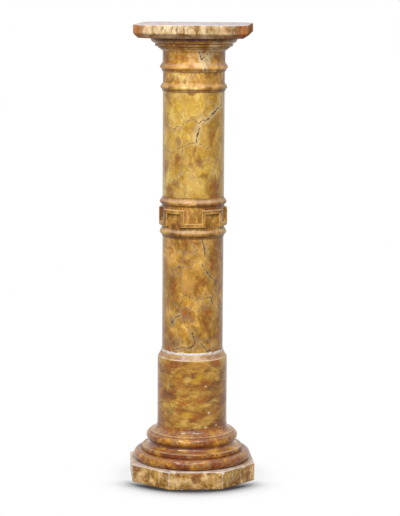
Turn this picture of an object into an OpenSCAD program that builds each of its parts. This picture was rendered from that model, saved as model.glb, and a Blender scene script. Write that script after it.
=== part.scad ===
// Pedestal column in golden veined marble, built of stacked turned drums.
// Millimetres, +Z up, origin at the centre of the plinth's underside, front towards -Y.

/* [Plinth] */
// Height of the octagonal plinth
plinth_h = 42.3; // [25:0.1:90]
// How far the plinth's flats stand out past the base
plinth_margin = 6.5; // [0:0.5:40]
// Leg of each clipped corner of the plinth
plinth_clip = 84; // [10:1:110]
// Turn of the plinth about the column's axis, in degrees
plinth_turn = 4; // [-20:0.5:20]

/* [Turned base] */
// Height of the lower torus
low_torus_h = 25.4; // [14:0.2:40]
// How far the lower torus stands out past the socle drum
low_torus_out = 57.5; // [44:0.5:75]
// How far the fillet over the lower torus is set back from it
low_fillet_back = 20.3; // [16:0.1:24]
// Height of the fillet over the lower torus
low_fillet_h = 9.8; // [3:0.2:14]
// Height of the hollow between the fillet and the upper torus
scotia_h = 11; // [6:0.5:24]
// Height of the small fillet under the upper torus
scotia_fillet_h = 2; // [1:0.5:5]
// Height of the upper torus
up_torus_h = 22.6; // [12:0.2:30]
// How far the upper torus stands out past the socle drum
up_torus_out = 26.9; // [22:0.1:36]
// Height of the thin lip over the upper torus
lip_h = 2.2; // [1:0.2:6]
// How far the lip stands out past the socle drum
lip_out = 17.7; // [12:0.1:19]
// Height of the flare between the lip and the socle drum
flare_h = 18; // [8:0.5:30]
// How far the flare's head stands out past the socle drum
flare_head_out = 0.7; // [0:0.1:3]

/* [Socle drum] */
// Radius of the socle drum
drum_r = 84.3; // [80:0.1:110]
// Height of the socle drum
drum_h = 177.7; // [90:0.1:260]
// Height of the sloping bevel at its head
bevel_h = 11.5; // [4:0.5:25]
// Height of the eased shoulder under the bevel
shoulder_h = 8; // [3:0.5:15]
// How far the shoulder draws the drum in
shoulder_in = 1.7; // [0.5:0.1:3]
// Flat land left round the foot of the lower shaft
land_w = 2.4; // [1:0.1:3.5]

/* [Filler in the drum joint] */
// Height of the plaster bead up the lower shaft
filler_h = 4.4; // [1:0.2:8]
// How far the bead stands out past the lower shaft
filler_out = 2; // [0.6:0.1:2.4]

/* [Shafts] */
// Radius of the lower shaft
low_shaft_r = 73.6; // [60:0.1:75]
// Height of the lower shaft
low_shaft_h = 283; // [120:1:500]
// Radius of the upper shaft and of the neck drum
up_shaft_r = 74; // [60:0.1:90]
// Height of the upper shaft
up_shaft_h = 254; // [120:1:500]

/* [Key collar] */
// Height of the foot fillet of the collar
collar_fillet_h = 4; // [2:0.5:10]
// How far the foot fillet stands out past the lower shaft
collar_fillet_out = 1.8; // [0.5:0.1:3]
// How far both rings of the collar stand out past the upper shaft
collar_ring_out = 6.4; // [4:0.1:12]
// Height of the rounded underside of a collar ring
collar_ring_under = 5.5; // [3:0.5:10]
// Height of the sloping top of a collar ring
collar_ring_top = 12; // [5:0.5:16]
// Height of the sunk band between the rings
band_h = 55; // [45:0.5:90]
// How far the sunk band stands out past the upper shaft
band_out = 1.1; // [0:0.1:3]
// How far the raised key stands out past the sunk band
key_out = 7; // [2:0.2:12]
// Foot of the raised key above the sunk band's foot
key_lift = 5; // [0:0.5:10]
// Head of the raised key below the sunk band's head
key_drop = 9; // [0:0.5:12]
// Width of the key's line
key_line = 9.2; // [4:0.2:14]
// Number of uprights round the collar, an even number
key_uprights = 10; // [6:2:16]

/* [Neck drum] */
// Height of the neck drum
neck_h = 46.5; // [36:0.5:90]
// Height of its foot fillet
neck_fillet_h = 4.3; // [2:0.1:8]
// How far the foot fillet stands out past the shaft
neck_fillet_out = 2.2; // [0.5:0.1:4]
// How far the neck ring stands out past the shaft
neck_ring_out = 5.9; // [4:0.1:10]
// Height of the rounded underside of the neck ring
neck_ring_under = 4.2; // [2:0.1:8]
// Height of the sloping top of the neck ring
neck_ring_top = 12; // [5:0.5:16]

/* [Capital] */
// How far the capital's wall stands out past the shaft
capital_wall_out = 0.8; // [0:0.1:3]
// Height of the capital's foot fillet
capital_fillet_h = 5.2; // [2:0.1:8]
// How far the foot fillet stands out past the shaft
capital_fillet_out = 3; // [1:0.1:5]
// How far the capital's ring stands out past the shaft
capital_ring_out = 7.4; // [6:0.1:12]
// Height of the rounded underside of the capital's ring
capital_ring_under = 4.3; // [2:0.1:8]
// Height of the sloping top of the capital's ring
capital_ring_top = 13; // [5:0.5:16]
// Height of the plain wall over the ring
capital_wall_h = 23.5; // [8:0.5:60]
// Height of the ogee over the plain wall
ogee_h = 8.5; // [4:0.5:16]
// How far the ogee's head stands out past the shaft
ogee_out = 8.5; // [4:0.1:10]
// Height of the fillet over the ogee
capital_step_h = 4.5; // [2:0.5:10]
// How far that fillet stands out past the shaft
capital_step_out = 12; // [11:0.1:17]
// Height of the band over that fillet
capital_band_h = 7.3; // [3:0.1:14]
// How far the band stands out past the shaft
capital_band_out = 19.2; // [18:0.1:20]
// Height of the ovolo under the top slab
ovolo_h = 14.2; // [8:0.1:28]
// How far the ovolo's foot stands out past the shaft
ovolo_foot_out = 20.3; // [20:0.1:26]
// How far the ovolo's head stands out past the shaft
ovolo_out = 30.3; // [27:0.1:45]

/* [Top slab] */
// Thickness of the top slab
slab_h = 31; // [16:0.5:60]
// How far the slab's flats stand out past the capital
slab_margin = 30; // [14:0.5:60]
// Leg of each clipped corner of the slab
slab_clip = 30; // [5:1:60]
// Leg of the chamfer under the slab's rim
slab_chamfer = 11; // [3:0.5:14]
// Turn of the slab about the column's axis, in degrees
slab_turn = -5; // [-20:0.5:20]

/* [Hidden] */

curve_steps = 10;  // straight pieces in each curved stretch of a profile
$fn = 96;
cut_over = 1;      // how far a cutting block runs past what it cuts

low_torus_r = drum_r + low_torus_out;
up_torus_r = drum_r + up_torus_out;
lip_r = drum_r + lip_out;
plinth_half = low_torus_r + plinth_margin;
base_h = low_torus_h + low_fillet_h + scotia_h + scotia_fillet_h + up_torus_h + lip_h + flare_h;
collar_ring_h = collar_ring_under + collar_ring_top;
collar_h = collar_fillet_h + 2 * collar_ring_h + band_h;
band_r = up_shaft_r + band_out;
key_h = band_h - key_lift - key_drop;
capital_ring_h = capital_ring_under + capital_ring_top;
capital_h = capital_fillet_h + capital_ring_h + capital_wall_h + ogee_h + capital_step_h
            + capital_band_h + ovolo_h;
slab_half = up_shaft_r + ovolo_out + slab_margin;

base_z = plinth_h;
drum_z = base_z + base_h;
low_shaft_z = drum_z + drum_h;
collar_z = low_shaft_z + low_shaft_h;
up_shaft_z = collar_z + collar_h;
neck_z = up_shaft_z + up_shaft_h;
capital_z = neck_z + neck_h;
slab_z = capital_z + capital_h;

// A stretch of an ellipse round [x, z], from angle a to angle b.
function arc(x, z, rx, rz, a, b) =
    [for (i = [0:curve_steps]) let (t = a + (b - a) * i / curve_steps) [x + rx * cos(t), z + rz * sin(t)]];

// An S-shaped moulding from one point up to another, upright at both ends.
function ogee(from, to) =
    [for (i = [0:curve_steps]) let (t = i / curve_steps)
        [from[0] + (to[0] - from[0]) * (1 - cos(180 * t)) / 2, from[1] + (to[1] - from[1]) * t]];

// A ring round the column: a rounded underside, then an ogee slope back to the wall.
function ring(foot_r, out_r, wall_r, z, under, top) = concat(
    arc(foot_r, z + under, out_r - foot_r, under, -90, 0),
    ogee([out_r, z + under], [wall_r, z + under + top]));

// A solid of revolution from an outline that runs from the foot up.
module turned(outline, h)
    rotate_extrude()
        polygon(concat([[0, 0]], outline, [[0, h]]));

// A square of half-width half with its corners clipped by legs of clip.
module clipped_square(half, clip)
    polygon([for (a = [0:90:270], p = [[half, -half + clip], [half, half - clip]])
        [p[0] * cos(a) - p[1] * sin(a), p[0] * sin(a) + p[1] * cos(a)]]);

module plinth()
    color([0.72, 0.58, 0.36])
        rotate([0, 0, plinth_turn])
            linear_extrude(plinth_h)
                clipped_square(plinth_half, plinth_clip);

module base() {
    low_b = low_torus_h / 2;
    low_a = low_torus_r - low_b;
    fillet_r = low_torus_r - low_fillet_back;
    fillet_top = low_torus_h + low_fillet_h;
    up_b = up_torus_h / 2;
    up_a = up_torus_r - up_b;
    hollow_r = lip_r + 1;
    hollow_top = fillet_top + scotia_h;
    up_mid = hollow_top + scotia_fillet_h + up_b;
    lip_top = up_mid + up_b + lip_h;
    outline = concat(
        arc(low_a, low_b, low_b, low_b, -90, acos((fillet_r - low_a) / low_b)),
        arc(fillet_r, hollow_top, fillet_r - hollow_r, scotia_h, 270, 180),
        arc(up_a, up_mid, up_b, up_b, -acos((hollow_r - up_a) / up_b), acos((lip_r - up_a) / up_b)),
        arc(lip_r, lip_top + flare_h, lip_out - flare_head_out, flare_h, 270, 180));
    color([0.66, 0.42, 0.16])
        translate([0, 0, base_z])
            turned(outline, base_h);
}

module socle_drum() {
    shoulder_r = drum_r - shoulder_in;
    shoulder_top = drum_h - bevel_h;
    outline = concat(
        [[drum_r, 0]],
        arc(shoulder_r, shoulder_top - shoulder_h, shoulder_in, shoulder_h, 0, 90),
        [[low_shaft_r + land_w, drum_h]]);
    color([0.68, 0.48, 0.22])
        translate([0, 0, drum_z])
            turned(outline, drum_h);
}

module joint_filler() {
    color([0.88, 0.85, 0.78])
        translate([0, 0, low_shaft_z])
            rotate_extrude()
                polygon(concat(
                    [[low_shaft_r, 0]],
                    arc(low_shaft_r, 0, filler_out, filler_h, 0, 90)));
}

module lower_shaft()
    color([0.78, 0.62, 0.34])
        translate([0, 0, low_shaft_z])
            cylinder(h = low_shaft_h, r = low_shaft_r);

// A wedge of the space round the column, from azimuth a to azimuth b.
module wedge(a, b, r, h)
    linear_extrude(h)
        polygon([[0, 0], [r * cos(a), r * sin(a)], [r * cos(b), r * sin(b)]]);

// The raised key: a hoop with a window cut between uprights, from below and from above by turns.
module raised_key() {
    pitch = 360 / key_uprights;
    hoop_r = band_r + key_out;
    half_line = key_line / 2 / hoop_r * 180 / PI;
    difference() {
        cylinder(h = key_h, r = hoop_r);
        for (i = [0:key_uprights - 1]) {
            start = -90 + (i + 0.5) * pitch + half_line;
            window_z = i % 2 == 0 ? -cut_over : key_line;
            translate([0, 0, window_z])
                wedge(start, start + pitch - 2 * half_line, 2 * hoop_r, key_h - key_line + cut_over);
        }
    }
}

module key_collar() {
    ring_r = up_shaft_r + collar_ring_out;
    band_z = collar_fillet_h + collar_ring_h;
    foot_r = low_shaft_r + collar_fillet_out;
    outline = concat(
        [[foot_r, 0]],
        ring(foot_r, ring_r, band_r, collar_fillet_h, collar_ring_under, collar_ring_top),
        ring(band_r, ring_r, up_shaft_r, band_z + band_h, collar_ring_under, collar_ring_top));
    color([0.76, 0.55, 0.24])
        translate([0, 0, collar_z])
            union() {
                turned(outline, collar_h);
                translate([0, 0, band_z + key_lift])
                    raised_key();
            }
}

module upper_shaft()
    color([0.86, 0.68, 0.28])
        translate([0, 0, up_shaft_z])
            cylinder(h = up_shaft_h, r = up_shaft_r);

module neck_drum() {
    foot_r = up_shaft_r + neck_fillet_out;
    outline = concat(
        [[foot_r, 0]],
        ring(foot_r, up_shaft_r + neck_ring_out, up_shaft_r, neck_fillet_h, neck_ring_under, neck_ring_top),
        [[up_shaft_r, neck_h]]);
    color([0.82, 0.60, 0.26])
        translate([0, 0, neck_z])
            turned(outline, neck_h);
}

module capital() {
    wall_r = up_shaft_r + capital_wall_out;
    foot_r = up_shaft_r + capital_fillet_out;
    ogee_foot = capital_fillet_h + capital_ring_h + capital_wall_h;
    step_foot = ogee_foot + ogee_h;
    band_foot = step_foot + capital_step_h;
    ovolo_foot = band_foot + capital_band_h;
    step_r = up_shaft_r + capital_step_out;
    edge_r = up_shaft_r + capital_band_out;
    outline = concat(
        [[foot_r, 0]],
        ring(foot_r, up_shaft_r + capital_ring_out, wall_r, capital_fillet_h,
             capital_ring_under, capital_ring_top),
        ogee([wall_r, ogee_foot], [up_shaft_r + ogee_out, step_foot]),
        [[step_r, step_foot], [step_r, band_foot], [edge_r, band_foot], [edge_r, ovolo_foot]],
        arc(up_shaft_r + ovolo_foot_out, capital_h, ovolo_out - ovolo_foot_out, ovolo_h, -90, 0));
    color([0.80, 0.56, 0.25])
        translate([0, 0, capital_z])
            turned(outline, capital_h);
}

// A bar along Y whose two long lower edges are chamfered.
module chamfered_bar(half, h, chamfer)
    rotate([90, 0, 0])
        linear_extrude(4 * half, center = true)
            polygon([[-half + chamfer, 0], [half - chamfer, 0], [half, chamfer],
                     [half, h], [-half, h], [-half, chamfer]]);

// The slab is what four such bars share: two across its flats, two across its clipped corners.
module top_slab() {
    clip_reach = (2 * slab_half - slab_clip) / sqrt(2);
    color([0.82, 0.70, 0.46])
        translate([0, 0, slab_z])
            rotate([0, 0, slab_turn])
                intersection() {
                    chamfered_bar(slab_half, slab_h, slab_chamfer);
                    rotate([0, 0, 90])
                        chamfered_bar(slab_half, slab_h, slab_chamfer);
                    rotate([0, 0, 45])
                        chamfered_bar(clip_reach, slab_h, slab_chamfer);
                    rotate([0, 0, 135])
                        chamfered_bar(clip_reach, slab_h, slab_chamfer);
                }
}

plinth();
base();
socle_drum();
joint_filler();
lower_shaft();
key_collar();
upper_shaft();
neck_drum();
capital();
top_slab();
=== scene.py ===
import math

import bpy
from mathutils import Matrix, Vector, kdtree, noise


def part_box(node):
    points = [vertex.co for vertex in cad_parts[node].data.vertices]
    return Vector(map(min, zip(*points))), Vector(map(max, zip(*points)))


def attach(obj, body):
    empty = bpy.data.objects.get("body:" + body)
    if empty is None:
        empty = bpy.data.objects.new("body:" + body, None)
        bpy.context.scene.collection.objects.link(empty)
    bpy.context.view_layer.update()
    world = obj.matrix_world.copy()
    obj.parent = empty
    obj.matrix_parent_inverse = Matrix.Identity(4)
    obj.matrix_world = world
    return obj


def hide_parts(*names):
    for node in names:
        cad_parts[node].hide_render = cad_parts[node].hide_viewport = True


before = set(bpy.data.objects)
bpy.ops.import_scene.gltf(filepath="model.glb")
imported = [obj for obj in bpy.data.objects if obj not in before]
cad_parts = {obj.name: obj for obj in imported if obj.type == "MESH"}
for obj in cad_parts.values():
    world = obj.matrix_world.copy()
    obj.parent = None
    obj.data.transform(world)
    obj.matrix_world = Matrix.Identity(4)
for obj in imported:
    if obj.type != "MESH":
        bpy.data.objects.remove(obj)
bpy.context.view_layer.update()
mm = 0.001
print("frame loaded:", len(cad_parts), "stones")

view = {"place": (0, -4.84, 1.2568), "down": 8.46, "right": 0.205, "tip": 0.365, "lens": 141.2}

lamps = {
    # azimuth from the front towards +X, height above the horizon, distance, width, height, power
    "rightSoftbox": (19, 47, 2.6, 1.0, 0.6, 31),
    "leftSoftbox": (-38, 47, 2.6, 0.5, 0.6, 24),
    "wideSoftbox": (-12, 27, 3.2, 2.2, 1.5, 50),
}

room = {
    "lampAim": (0, 0, 0.5), "sky": 0.5, "floorSize": 60, "paper": (0.35, 0.35, 0.36, 1),
    "shadow": (0.05, 0.047, 0.056, 1), "shadowReach": 0.14, "shadowOpen": (0.70, 0.97),
    "shadowBack": (-0.12, -0.05, 1, 0.12),
}


def addCamera():
    bpy.ops.object.camera_add(location=view["place"])
    shot = bpy.context.object
    shot.name = "viewCamera"
    turn = Matrix.Rotation(math.radians(-view["right"]), 4, "Z")
    turn @= Matrix.Rotation(math.radians(90 - view["down"]), 4, "X")
    turn @= Matrix.Rotation(math.radians(view["tip"]), 4, "Z")
    shot.matrix_world = Matrix.Translation(view["place"]) @ turn
    shot.data.sensor_width = 36
    shot.data.lens = view["lens"]
    shot.data.clip_end = 200
    bpy.context.scene.camera = shot


def addLamp(name, azimuth, height, distance, width, tall, power):
    middle = Vector(room["lampAim"])
    a, h = math.radians(azimuth), math.radians(height)
    away = Vector((math.sin(a) * math.cos(h), -math.cos(a) * math.cos(h), math.sin(h)))
    bpy.ops.object.light_add(type="AREA", location=middle + away * distance)
    lamp = bpy.context.object
    lamp.name = name
    lamp.rotation_euler = away.to_track_quat("Z", "Y").to_euler()
    lamp.data.shape = "RECTANGLE"
    lamp.data.size = width
    lamp.data.size_y = tall
    lamp.data.energy = power


class Wire:
    # one output socket; adding, taking away or multiplying adds the Math node that does it
    def __init__(self, sheet, socket):
        self.sheet = sheet
        self.socket = socket

    def __add__(self, other):
        return self.sheet.maths("ADD", self, other)

    def __radd__(self, other):
        return self.sheet.maths("ADD", other, self)

    def __sub__(self, other):
        return self.sheet.maths("SUBTRACT", self, other)

    def __rsub__(self, other):
        return self.sheet.maths("SUBTRACT", other, self)

    def __mul__(self, other):
        return self.sheet.maths("MULTIPLY", self, other)

    def __neg__(self):
        return self.sheet.maths("MULTIPLY", self, -1)


class NodeSheet:
    def __init__(self, tree):
        self.tree = tree
        tree.nodes.clear()

    def add(self, kind, settings=None, inputs=None, output=0):
        node = self.tree.nodes.new(kind)
        for name, value in (settings or {}).items():
            if name == "stops":
                self.setStops(node.color_ramp, value)
            else:
                setattr(node, name, value)
        for key, value in (inputs or {}).items():
            if isinstance(value, Wire):
                self.tree.links.new(value.socket, node.inputs[key])
            else:
                node.inputs[key].default_value = value
        return Wire(self, node.outputs[output]) if len(node.outputs) else node

    def setStops(self, ramp, stops):
        while len(ramp.elements) < len(stops):
            ramp.elements.new(0.5)
        for element, (position, colour) in zip(ramp.elements, stops):
            element.position = position
            element.color = colour

    def maths(self, operation, *values, clamp=False):
        settings = {"operation": operation, "use_clamp": clamp}
        return self.add("ShaderNodeMath", settings, dict(enumerate(values)))

    def vector(self, operation, *values, output=0):
        return self.add("ShaderNodeVectorMath", {"operation": operation}, dict(enumerate(values)), output)

    def scaled(self, value, factor):
        return self.add("ShaderNodeVectorMath", {"operation": "SCALE"}, {0: value, 3: factor})

    def parts(self, value):
        node = self.tree.nodes.new("ShaderNodeSeparateXYZ")
        self.tree.links.new(value.socket, node.inputs[0])
        return [Wire(self, socket) for socket in node.outputs]

    def joined(self, x, y, z=0.0):
        return self.add("ShaderNodeCombineXYZ", None, {0: x, 1: y, 2: z})

    def step(self, value, low, high, start=0.0, end=1.0):
        # smooth rise from start to end as value goes from low to high
        settings = {"interpolation_type": "SMOOTHSTEP"}
        return self.add("ShaderNodeMapRange", settings, {0: value, 1: low, 2: high, 3: start, 4: end})

    def cloud(self, at, size, detail=4.0, rough=0.5, output=0):
        # noise whose shapes are about size across
        inputs = {"Vector": at, "Scale": 1 / size, "Detail": detail, "Roughness": rough}
        return self.add("ShaderNodeTexNoise", None, inputs, output)

    def wobble(self, at, size, detail, rough):
        # a drifting direction, which is nothing on average
        return self.vector("SUBTRACT", self.cloud(at, size, detail, rough, output=1), (0.5, 0.5, 0.5))

    def mark(self, name):
        return self.add("ShaderNodeAttribute", {"attribute_name": name}, output="Fac")

    def shownRays(self):
        # 1 for rays that show a surface as it is, straight, mirrored or through glass; 0 for the rest
        seen, mirrored, through = (self.add("ShaderNodeLightPath", output=f"Is {kind} Ray")
                                   for kind in ("Camera", "Glossy", "Transmission"))
        return self.maths("MAXIMUM", seen, self.maths("MAXIMUM", mirrored, through))

    def tinted(self, factor, first, second, blend="MIX"):
        settings = {"data_type": "RGBA", "blend_type": blend}
        return self.add("ShaderNodeMix", settings, {0: factor, 6: first, 7: second}, 2)

    def ramp(self, value, stops):
        return self.add("ShaderNodeValToRGB", {"stops": stops}, {0: value})


def tint(red, green, blue):
    # a colour as a paint chart gives it, 0 to 255, turned to the linear values that shaders use
    def linear(level):
        level /= 255
        return level / 12.92 if level <= 0.04045 else ((level + 0.055) / 1.055) ** 2.4
    return (linear(red), linear(green), linear(blue), 1)


def lightRoom():
    world = bpy.data.worlds.new("paleRoom")
    world.use_nodes = True
    bpy.context.scene.world = world
    sheet = NodeSheet(world.node_tree)
    shown = sheet.shownRays()
    glow = room["sky"] + shown * (1 - room["sky"])
    back = sheet.add("ShaderNodeBackground", None, {0: (1, 1, 1, 1), 1: glow})
    sheet.add("ShaderNodeOutputWorld", None, {0: back})
    for name, numbers in lamps.items():
        addLamp(name, *numbers)


def layFloor():
    bpy.ops.mesh.primitive_plane_add(size=room["floorSize"])
    floor = bpy.context.object
    floor.name = "studioFloor"
    paper = bpy.data.materials.new("floorPaper")
    paper.use_nodes = True
    sheet = NodeSheet(paper.node_tree)
    shown = sheet.shownRays()
    matt = sheet.add("ShaderNodeBsdfDiffuse", None, {0: room["paper"]})
    glow = sheet.add("ShaderNodeEmission", None, {0: (1, 1, 1, 1), 1: 1})
    lit = sheet.add("ShaderNodeMixShader", None, {0: shown, 1: matt, 2: glow})
    # a painted contact shadow: the paper darkens close round the plinth, and more in front of it than behind
    bare = sheet.add("ShaderNodeAmbientOcclusion", {"samples": 24}, {"Distance": room["shadowReach"]}, "AO")
    dark = sheet.add("ShaderNodeBsdfDiffuse", None, {0: room["shadow"]})
    depth = sheet.parts(sheet.add("ShaderNodeTexCoord", output="Object"))[1]
    shade = (1 - sheet.step(bare, *room["shadowOpen"])) * sheet.step(depth, *room["shadowBack"])
    both = sheet.add("ShaderNodeMixShader", None, {0: shade, 1: lit, 2: dark})
    sheet.add("ShaderNodeOutputMaterial", None, {0: both})
    floor.data.materials.append(paper)


# outlines, in mm


def arcPoints(r, z, reach, rise, start, end, steps=10):
    turns = [math.radians(start + (end - start) * i / steps) for i in range(steps + 1)]
    return [(r + reach * math.cos(t), z + rise * math.sin(t)) for t in turns]


def ogeePoints(foot, head, steps=10):
    shares = [i / steps for i in range(steps + 1)]
    wide, tall = head[0] - foot[0], head[1] - foot[1]
    return [(foot[0] + wide * (1 - math.cos(math.pi * s)) / 2, foot[1] + tall * s) for s in shares]


def ringPoints(foot, out, wall, z, under, top):
    rounded = arcPoints(foot, z + under, out - foot, under, -90, 0, 6)
    return rounded + ogeePoints((out, z + under), (wall, z + under + top), 9)


def ringedFoot(stone, foot):
    filletRadius, filletRise = stone["fillet"]
    rest = ringPoints(filletRadius, stone["ring"][0], stone["radius"], foot + filletRise, *stone["ring"][1:])
    return [(0, foot), (filletRadius, foot)] + rest


# for rounding corners: points nearer than this are one, corners blunter than this stay, and a
# corner takes at most this share of the lines beside it
easing = {"nearest": 0.02, "bluntest": 25, "share": 0.45}


def eased(outline, radius):
    # every sharp corner of the outline is rounded off
    points = [Vector(p) for p in outline]
    kept = [points[0]]
    for here in points[1:]:
        if (here - kept[-1]).length > easing["nearest"]:
            kept.append(here)
    smooth = [kept[0]]
    for before, here, after in zip(kept, kept[1:], kept[2:]):
        arrive, leave = here - before, after - here
        if arrive.angle(leave) < math.radians(easing["bluntest"]):
            smooth.append(here)
            continue
        cut = min(radius, easing["share"] * min(arrive.length, leave.length))
        start, end = here - arrive.normalized() * cut, here + leave.normalized() * cut
        for share in (0, 0.25, 0.5, 0.75, 1):
            near = start.lerp(here, share)
            smooth.append(near.lerp(here.lerp(end, share), share))
    return smooth + [kept[-1]]


def divided(outline, longest):
    # long stretches of the visible outline get points in between; the hidden beds don't
    full = [outline[0]]
    for here, there in zip(outline, outline[1:]):
        flat = min(here[0], there[0]) < 1
        pieces = 1 if flat else max(1, math.ceil((there - here).length / longest))
        full += [here.lerp(there, i / pieces) for i in range(1, pieces + 1)]
    return full


def choose(piece):
    bpy.ops.object.select_all(action="DESELECT")
    piece.select_set(True)
    bpy.context.view_layer.objects.active = piece


def openPiece(piece):
    choose(piece)
    bpy.ops.object.mode_set(mode="EDIT")


def pick(piece, kind, test):
    # in edit mode: the edges or faces that pass the test are selected, and nothing else
    bpy.ops.mesh.select_mode(type=kind)
    bpy.ops.mesh.select_all(action="DESELECT")
    bpy.ops.object.mode_set(mode="OBJECT")
    for part in piece.data.polygons if kind == "FACE" else piece.data.edges:
        part.select = test(part)
    bpy.ops.object.mode_set(mode="EDIT")


def closeShell():
    bpy.ops.mesh.select_all(action="SELECT")
    bpy.ops.mesh.remove_doubles(threshold=0.01 * mm)
    bpy.ops.mesh.normals_make_consistent(inside=False)
    bpy.ops.object.mode_set(mode="OBJECT")


def spunStone(name, outline, steps, start=0.0):
    # one point is drawn up the outline, then the line is spun round the axis
    bpy.ops.object.select_all(action="DESELECT")
    bpy.ops.mesh.primitive_plane_add(size=mm)
    piece = bpy.context.object
    piece.name = piece.data.name = name
    bpy.ops.object.mode_set(mode="EDIT")
    bpy.ops.mesh.select_mode(type="VERT")
    bpy.ops.mesh.select_all(action="SELECT")
    bpy.ops.mesh.merge(type="CENTER")
    side = Vector((math.cos(start), math.sin(start), 0))
    route = [(side * p[0] + Vector((0, 0, p[1]))) * mm for p in outline]
    bpy.ops.transform.translate(value=route[0])
    for here, there in zip(route, route[1:]):
        bpy.ops.mesh.extrude_region_move(TRANSFORM_OT_translate={"value": there - here})
    bpy.ops.mesh.select_all(action="SELECT")
    bpy.ops.mesh.spin(steps=steps, angle=math.tau, center=(0, 0, 0), axis=(0, 0, 1))
    closeShell()
    return piece


def turnedStone(name, outline, stone):
    return spunStone(name, divided(eased(outline, stone["arris"]), stone["gap"]), stone["steps"])


def finishStone(piece, node, material, angle):
    choose(piece)
    bpy.ops.object.shade_smooth_by_angle(angle=math.radians(angle))
    piece.data.materials.clear()
    piece.data.materials.append(material)
    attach(piece, "root")
    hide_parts(node)
    print(piece.name, "made,", len(piece.data.polygons), "faces")


def onStone(angle, height, radius):
    # a place on a turned stone: degrees from the front towards +X, height, radius
    a = math.radians(angle)
    return Vector((radius * math.sin(a), -radius * math.cos(a), height)) * mm


def footAndHead(node):
    # heights of the stone's beds, in mm
    low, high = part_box(node)
    return low.z / mm, high.z / mm


farOff = 30  # mm from an arris, further than any wear reaches


def roughness(place, *sizes):
    # unevenness at a place; each size is (how often, how strong)
    return sum(noise.noise(place * often) * strength for often, strength in sizes)


# chips: how far round each the faces are cut finer, how far it reaches, its roughness, and its bowl
chipping = {"cut": 1.3, "reach": 1.5, "coarse": (400, 0.5), "fine": (1100, 0.25), "ragged": 0.35,
            "bowl": 1.8, "floor": 0.8, "bruise": 3}


def knockChips(piece, chips, sink=0.0):
    # each chip is ((angle, height, radius), width, depth), pressed in towards the axis and down
    # by the sink; the faces there are cut finer first
    dents = []
    for (angle, height, radius), width, depth in chips:
        inward = -onStone(angle, 0, 1 / mm) - Vector((0, 0, sink))
        dents.append((onStone(angle, height, radius), width, inward * depth * mm))
    openPiece(piece)
    for place, width, push in dents:
        pick(piece, "FACE", lambda face: (face.center - place).length < width * chipping["cut"] * mm)
        bpy.ops.mesh.subdivide(number_cuts=3)
    bpy.ops.object.mode_set(mode="OBJECT")
    marks = piece.data.attributes.get("bruise") or piece.data.attributes.new("bruise", "FLOAT", "POINT")
    for index, corner in enumerate(piece.data.vertices):
        bruise = marks.data[index].value
        for place, width, push in dents:
            away = (corner.co - place).length / mm
            rough = roughness(corner.co, chipping["coarse"], chipping["fine"])
            share = 1 - away / width + rough * chipping["ragged"]
            if away > width * chipping["reach"] or share <= 0:
                continue
            corner.co += push * min(1, share * chipping["bowl"]) * (chipping["floor"] + rough)
            bruise = max(bruise, min(1, share * chipping["bruise"]))
        marks.data[index].value = bruise


def veinLine(sheet, spot, veins, turn):
    # distance, in mm, from a place to the nearest stretch of the drawn veins
    nearest = None
    for vein in veins:
        points = [(angle * turn, height) for angle, height in vein]
        for (u1, v1), (u2, v2) in zip(points, points[1:]):
            along = Vector((u2 - u1, v2 - v1, 0))
            fromStart = sheet.vector("SUBTRACT", spot, (u1, v1, 0))
            share = sheet.vector("DOT_PRODUCT", fromStart, tuple(along / along.length_squared), output=1)
            share = sheet.maths("MAXIMUM", sheet.maths("MINIMUM", share, 1), 0)
            foot = sheet.scaled(tuple(along), share)
            gap = sheet.vector("DISTANCE", fromStart, foot, output=1)
            nearest = gap if nearest is None else sheet.maths("MINIMUM", nearest, gap)
    return nearest


def blotMask(sheet, spot, blots, turn, ragged):
    # soft patches; each blot is (angle, height, half its width, half its height)
    nearest = None
    for angle, height, wide, tall in blots:
        away = sheet.vector("SUBTRACT", spot, (angle * turn, height, 0))
        away = sheet.vector("MULTIPLY", away, (1 / wide, 1 / tall, 0))
        gap = sheet.vector("LENGTH", away, output=1)
        nearest = gap if nearest is None else sheet.maths("MINIMUM", nearest, gap)
    return sheet.step(nearest + ragged, 1.35, 0.35)


# sizes of the clouds in the marble, in mm
cloudSizes = {"drift": 42, "shake": 16, "fine": 7, "grain": 1.6, "cracked": 48, "crack": 12, "vein": 9,
              "grime": 13, "dust": 19, "pits": 2.6}

# how far places wander, in mm, before lumps, lines and patches are laid out on them
wander = {"lump": 24, "line": 16, "patch": 26}

# sideways shifts that keep one layer's clouds from following another's
offsets = {"rust": (310, 40, 90), "pale": (-80, 220, 15), "crack": (15, -300, 44)}

# how much of what lies under it each layer covers
cover = {"rust": 0.85, "pale": 0.72, "yellow": 0.6, "stain": 0.8, "grain": 0.22, "crackHalo": 0.22,
         "crack": 0.75, "vein": 0.9, "thinHalo": 0.3, "thinVein": 0.85, "soot": 0.9, "chalk": 0.9}

# roughness of the polished stone, what clouds, dust and chalk add, and what they take off the polish
finish = {"rough": 0.3, "fineRough": 0.12, "dustRough": 0.35, "chalkRough": 0.4,
          "dustDull": 0.5, "chalkDull": 0.6}


def shades(*tones):
    # the ground of a marble, from its deepest clouds to its palest
    return [(level, tint(*tone)) for level, tone in zip((0.36, 0.43, 0.50, 0.57, 0.65), tones)]


mottleTones = [(0.30, tint(62, 54, 46)), (0.5, tint(128, 126, 122)), (0.70, tint(212, 206, 192))]
grainTones = [(0.3, tint(96, 92, 88)), (0.7, tint(160, 158, 154))]


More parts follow.
